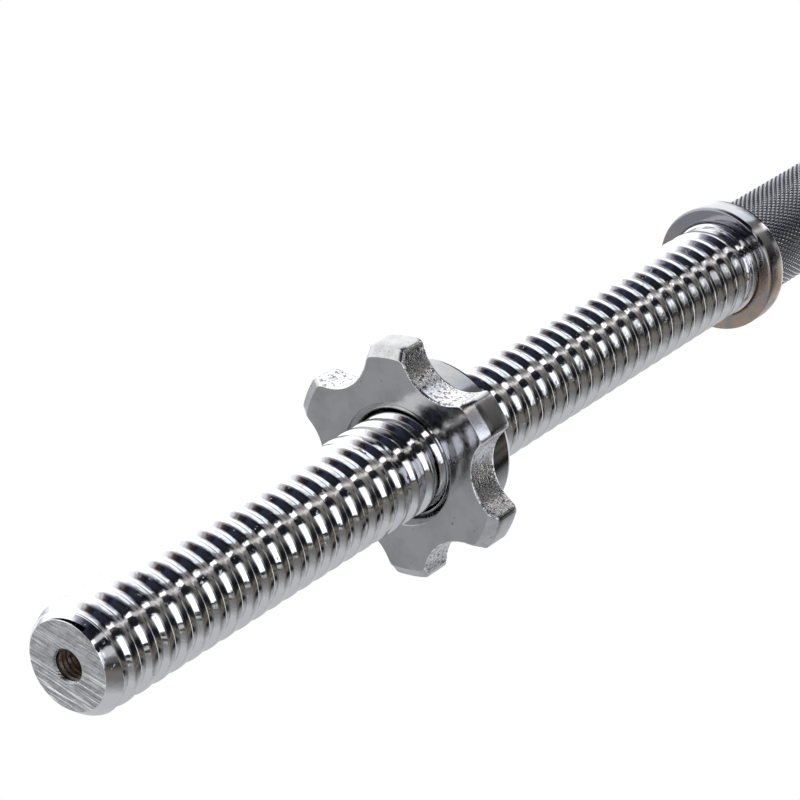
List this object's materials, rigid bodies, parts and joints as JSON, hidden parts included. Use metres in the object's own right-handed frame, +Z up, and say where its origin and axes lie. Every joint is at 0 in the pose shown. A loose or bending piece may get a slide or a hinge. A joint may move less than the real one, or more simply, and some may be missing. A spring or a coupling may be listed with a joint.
{
  "type": "adjustable dumbbell bar",
  "caption": "Spin-lock dumbbell bar: coarse-threaded steel sleeves, knurled grip between pressed collars, and lobed star collars that screw along to clamp plates.",
  "frame": {"origin": "middle of the bar, on its axis", "axes": "+X along the bar towards its right end, +Z up, -Y towards the lifter"},
  "size_m": [0.664, 0.0572, 0.0572],
  "materials": {
    "chrome_bar": "bright chrome plate on steel",
    "chrome_ring": "bright chrome plate, faint brown stain",
    "cast_chrome": "chrome plate over cast iron, grainy on the cast walls",
    "gasket_rubber": "matt black"
  },
  "bodies": {
    "frame": {"bar": "chrome_bar", "inner_collar_left": "chrome_ring", "inner_collar_right": "chrome_ring"},
    "left_gasket": {"gasket_left": "gasket_rubber"},
    "left_star": {"star_collar_left": "cast_chrome"},
    "right_gasket": {"gasket_right": "gasket_rubber"},
    "right_star": {"star_collar_right": "cast_chrome"}
  },
  "joints": [
    {"name": "left_star_travel", "type": "slide", "parent": "frame", "child": "left_gasket", "axis": [1, 0, 0], "range_m": [-0.1101, 0.1271]},
    {"name": "left_star_turn", "type": "hinge", "parent": "left_gasket", "child": "left_star", "pos_m": [-0.2, 0, 0], "axis": [1, 0, 0], "range_deg": [-7200, 8300]},
    {"name": "right_star_travel", "type": "slide", "parent": "frame", "child": "right_gasket", "axis": [-1, 0, 0], "range_m": [-0.1101, 0.1271]},
    {"name": "right_star_turn", "type": "hinge", "parent": "right_gasket", "child": "right_star", "pos_m": [0.2, 0, 0], "axis": [-1, 0, 0], "range_deg": [-7200, 8300]}
  ],
  "couplings": [
    {"joint": "left_star_travel", "follows": "left_star_turn", "m_per_rad": 0.00087535},
    {"joint": "right_star_travel", "follows": "right_star_turn", "m_per_rad": 0.00087535}
  ]
}
